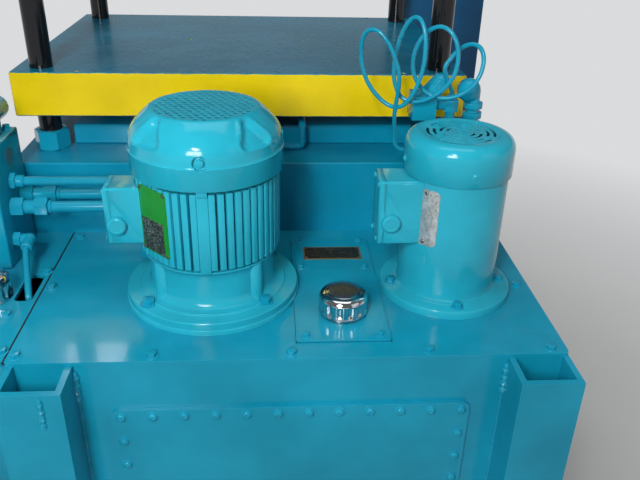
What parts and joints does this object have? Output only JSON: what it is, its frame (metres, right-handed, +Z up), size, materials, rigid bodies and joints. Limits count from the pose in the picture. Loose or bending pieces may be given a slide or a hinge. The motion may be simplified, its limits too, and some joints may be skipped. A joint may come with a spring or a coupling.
{
  "type": "hydraulic press",
  "caption": "Four-rod up-acting hydraulic press with a tank power unit, fan-cooled motors, pipework and a control cabinet.",
  "frame": {"origin": "on the floor, on the underside of the base plate, under the middle of the four strain rods", "axes": "+Z up; -Y towards the power unit and +Y towards the operator; +X to the right as seen from the power unit"},
  "size_m": [1.248, 1.3936, 1.8193],
  "materials": {
    "turquoise_paint": "gloss enamel with light shop dust",
    "motor_paint": "gloss enamel, a little brighter",
    "bed_paint": "darker gloss enamel",
    "platen_paint": "safety yellow enamel on the sides, blue on the top",
    "cabinet_paint": "dark blue enamel",
    "black_rod": "gloss black",
    "chrome": "polished chrome plate",
    "ground_steel": "ground steel",
    "raw_iron": "as cast",
    "black_plastic": "moulded black"
  },
  "bodies": {
    "press_frame": {"base_plate": "turquoise_paint", "leg_front_left": "turquoise_paint", "leg_front_right": "turquoise_paint", "leg_rear_left": "turquoise_paint", "leg_rear_right": "turquoise_paint", "bed": "bed_paint", "press_head": "turquoise_paint", "strain_rod_front_left": "black_rod", "strain_rod_front_right": "black_rod", "strain_rod_rear_left": "black_rod", "strain_rod_rear_right": "black_rod", "bed_nut_front_left": "turquoise_paint", "head_nut_front_left": "turquoise_paint", "bed_nut_front_right": "turquoise_paint", "head_nut_front_right": "turquoise_paint", "bed_nut_rear_left": "turquoise_paint", "head_nut_rear_left": "turquoise_paint", "bed_nut_rear_right": "turquoise_paint", "head_nut_rear_right": "turquoise_paint", "cylinder_head_block": "bed_paint", "cylinder_barrel": "turquoise_paint", "gland_ring": "ground_steel", "tank_shell": "turquoise_paint", "cleanout_cover": "turquoise_paint", "tank_cover": "turquoise_paint", "access_plate": "turquoise_paint", "channel_left": "turquoise_paint", "channel_right": "turquoise_paint", "filler_neck": "ground_steel", "side_breather": "chrome", "side_cabinet": "turquoise_paint", "side_cover": "turquoise_paint", "manifold_block": "turquoise_paint", "directional_valve": "turquoise_paint", "pressure_pipe": "turquoise_paint", "return_pipe": "turquoise_paint", "wiring_conduit": "turquoise_paint", "drain_tube": "turquoise_paint", "bed_pipe": "bed_paint", "main_motor_flange": "motor_paint", "main_motor_frame": "motor_paint", "main_fan_cover": "motor_paint", "aux_motor_frame": "motor_paint", "aux_fan_cover": "motor_paint", "main_terminal_box": "motor_paint", "aux_terminal_box": "motor_paint", "main_pump": "raw_iron", "aux_pump": "raw_iron", "riser_pipe": "turquoise_paint", "relief_valve": "turquoise_paint", "pressure_switch": "turquoise_paint", "gauge_tube": "turquoise_paint", "control_cabinet": "cabinet_paint"},
    "ram_and_platen": {"ram": "ground_steel", "platen": "platen_paint"},
    "main_rotor": {"main_rotor": "raw_iron"},
    "aux_rotor": {"aux_rotor": "raw_iron"},
    "breather_cap": {"breather_cap": "chrome"},
    "cabinet_door": {"cabinet_door": "cabinet_paint"},
    "door_handle": {"door_handle": "black_plastic"}
  },
  "joints": [
    {"name": "platen_lift", "type": "slide", "parent": "press_frame", "child": "ram_and_platen", "axis": [0, 0, 1], "range_m": [0, 0.4]},
    {"name": "main_rotor_spin", "type": "hinge", "parent": "press_frame", "child": "main_rotor", "pos_m": [-0.045, -0.5515, 1], "axis": [0, 0, 1], "continuous": true},
    {"name": "aux_rotor_spin", "type": "hinge", "parent": "press_frame", "child": "aux_rotor", "pos_m": [0.339, -0.5515, 1], "axis": [0, 0, 1], "continuous": true},
    {"name": "breather_cap_lift", "type": "slide", "parent": "press_frame", "child": "breather_cap", "axis": [0, 0, 1], "range_m": [0, 0.05]},
    {"name": "cabinet_door_swing", "type": "hinge", "parent": "press_frame", "child": "cabinet_door", "pos_m": [0.622, 0.5378, 1.1], "axis": [0, 0, -1], "range_deg": [0, 110]},
    {"name": "door_handle_turn", "type": "hinge", "parent": "cabinet_door", "child": "door_handle", "pos_m": [0.421, 0.5438, 1.105], "axis": [0, -1, 0], "range_deg": [0, 90]}
  ]
}
